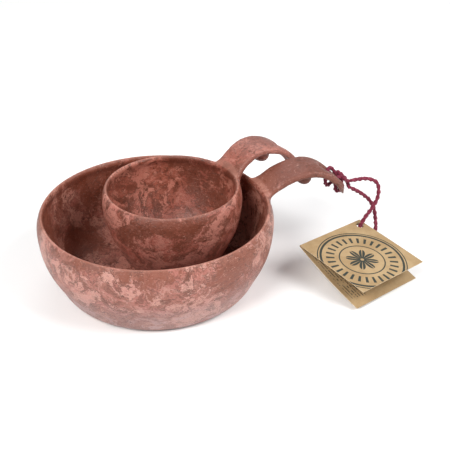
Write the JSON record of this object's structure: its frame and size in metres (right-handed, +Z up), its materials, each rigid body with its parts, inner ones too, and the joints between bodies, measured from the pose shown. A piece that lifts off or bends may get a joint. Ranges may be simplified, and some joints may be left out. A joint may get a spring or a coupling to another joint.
{
  "type": "nested kuksa bowl and cup with hang tag",
  "caption": "Round handled bowl with a smaller handled cup standing inside it, and a folded card tag on a twine loop tied to the bowl's slotted handle.",
  "frame": {"origin": "centre of the bowl's flat foot, where it rests on the table", "axes": "+Z up out of the bowl, +X along the bowl's handle, +Y to the handle's left seen from the bowl"},
  "size_m": [0.2305, 0.1587, 0.0714],
  "materials": {
    "bowl_composite": "mottled wood-fibre composite, satin",
    "cup_composite": "mottled wood-fibre composite, satin",
    "twine": "two-ply twisted jute, dyed burgundy",
    "tag_card": "uncoated kraft card with dark print"
  },
  "bodies": {
    "bowl_body": {"bowl": "bowl_composite", "twine_hitch": "twine"},
    "cup_body": {"cup": "cup_composite"},
    "tag_body": {"twine_loop": "twine", "tag_lower_leaf": "tag_card"},
    "tag_cover": {"tag_upper_leaf": "tag_card"}
  },
  "joints": [
    {"name": "cup_lift", "type": "slide", "parent": "bowl_body", "child": "cup_body", "axis": [0, 0, 1], "range_m": [0, 0.09]},
    {"name": "tag_swing", "type": "hinge", "parent": "bowl_body", "child": "tag_body", "pos_m": [0.1322, -0.0101, 0.0457], "axis": [-1, 0, 0], "range_deg": [0, 60]},
    {"name": "tag_fold", "type": "hinge", "parent": "tag_body", "child": "tag_cover", "pos_m": [0.0858, -0.0317, 0.0218], "axis": [-0.9477, -0.3171, 0.0375], "range_deg": [-12, 15], "stiffness_Nm_per_rad": 0.01}
  ]
}
